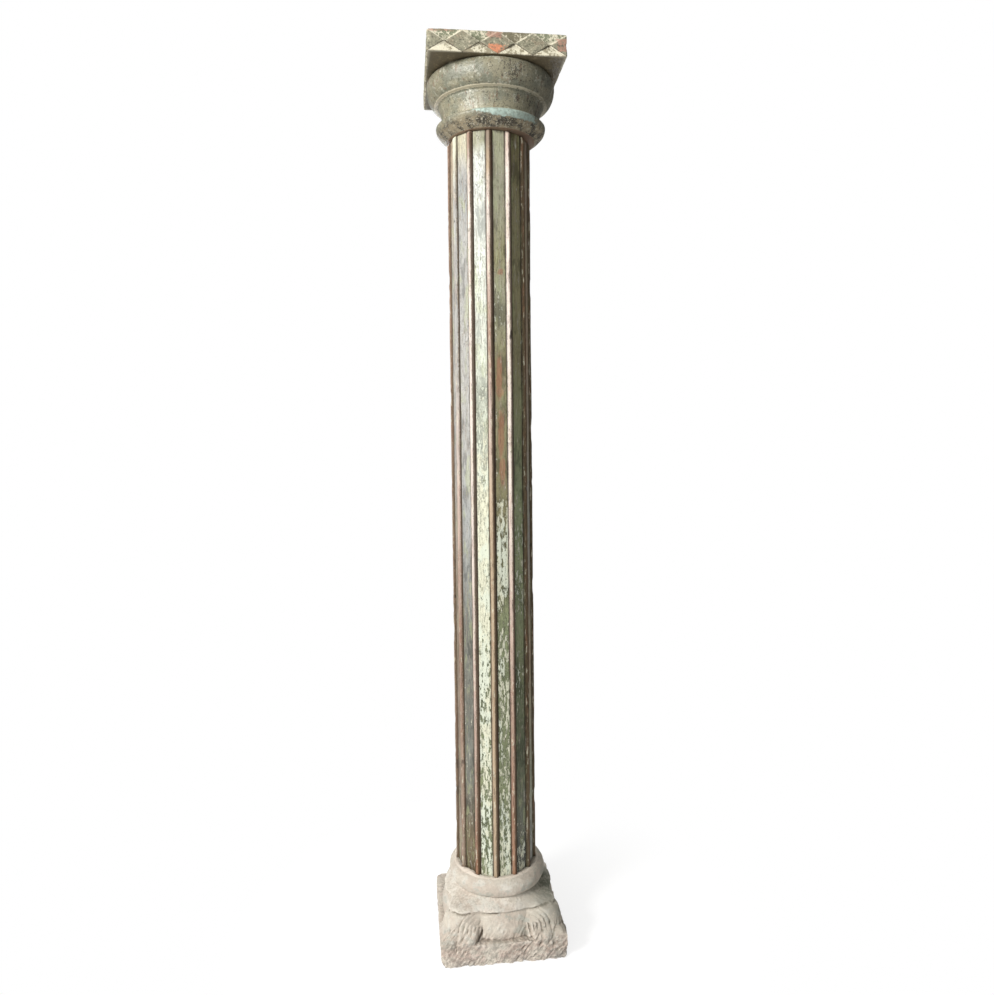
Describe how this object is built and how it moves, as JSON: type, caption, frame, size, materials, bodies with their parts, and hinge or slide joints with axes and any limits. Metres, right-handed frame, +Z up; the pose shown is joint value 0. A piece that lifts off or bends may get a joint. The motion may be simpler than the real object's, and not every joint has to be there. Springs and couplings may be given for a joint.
{
  "type": "carved wooden column",
  "caption": "Reeded painted wooden column with a turned capital and chip-carved square abacus, standing on a carved stone base with leaf corners.",
  "frame": {"origin": "middle of the column's outline, level with the stone base's underside, where the column stands", "axes": "+Z up along the column, front face towards -Y, +X to the right seen from the front"},
  "size_m": [0.326, 0.323, 2.2506],
  "materials": {
    "olive_painted_wood": "worn olive and grey-green paint on carved hardwood, cream and red traces on the frieze",
    "flaking_green_paint": "flaking green, mint and cream paint on reeded hardwood, ribs rubbed to bare brown wood",
    "sandstone": "worn tooled pinkish-beige sandstone, matt"
  },
  "bodies": {
    "root": {"capital": "olive_painted_wood", "shaft": "flaking_green_paint", "stone_base": "sandstone"}
  },
  "joints": []
}
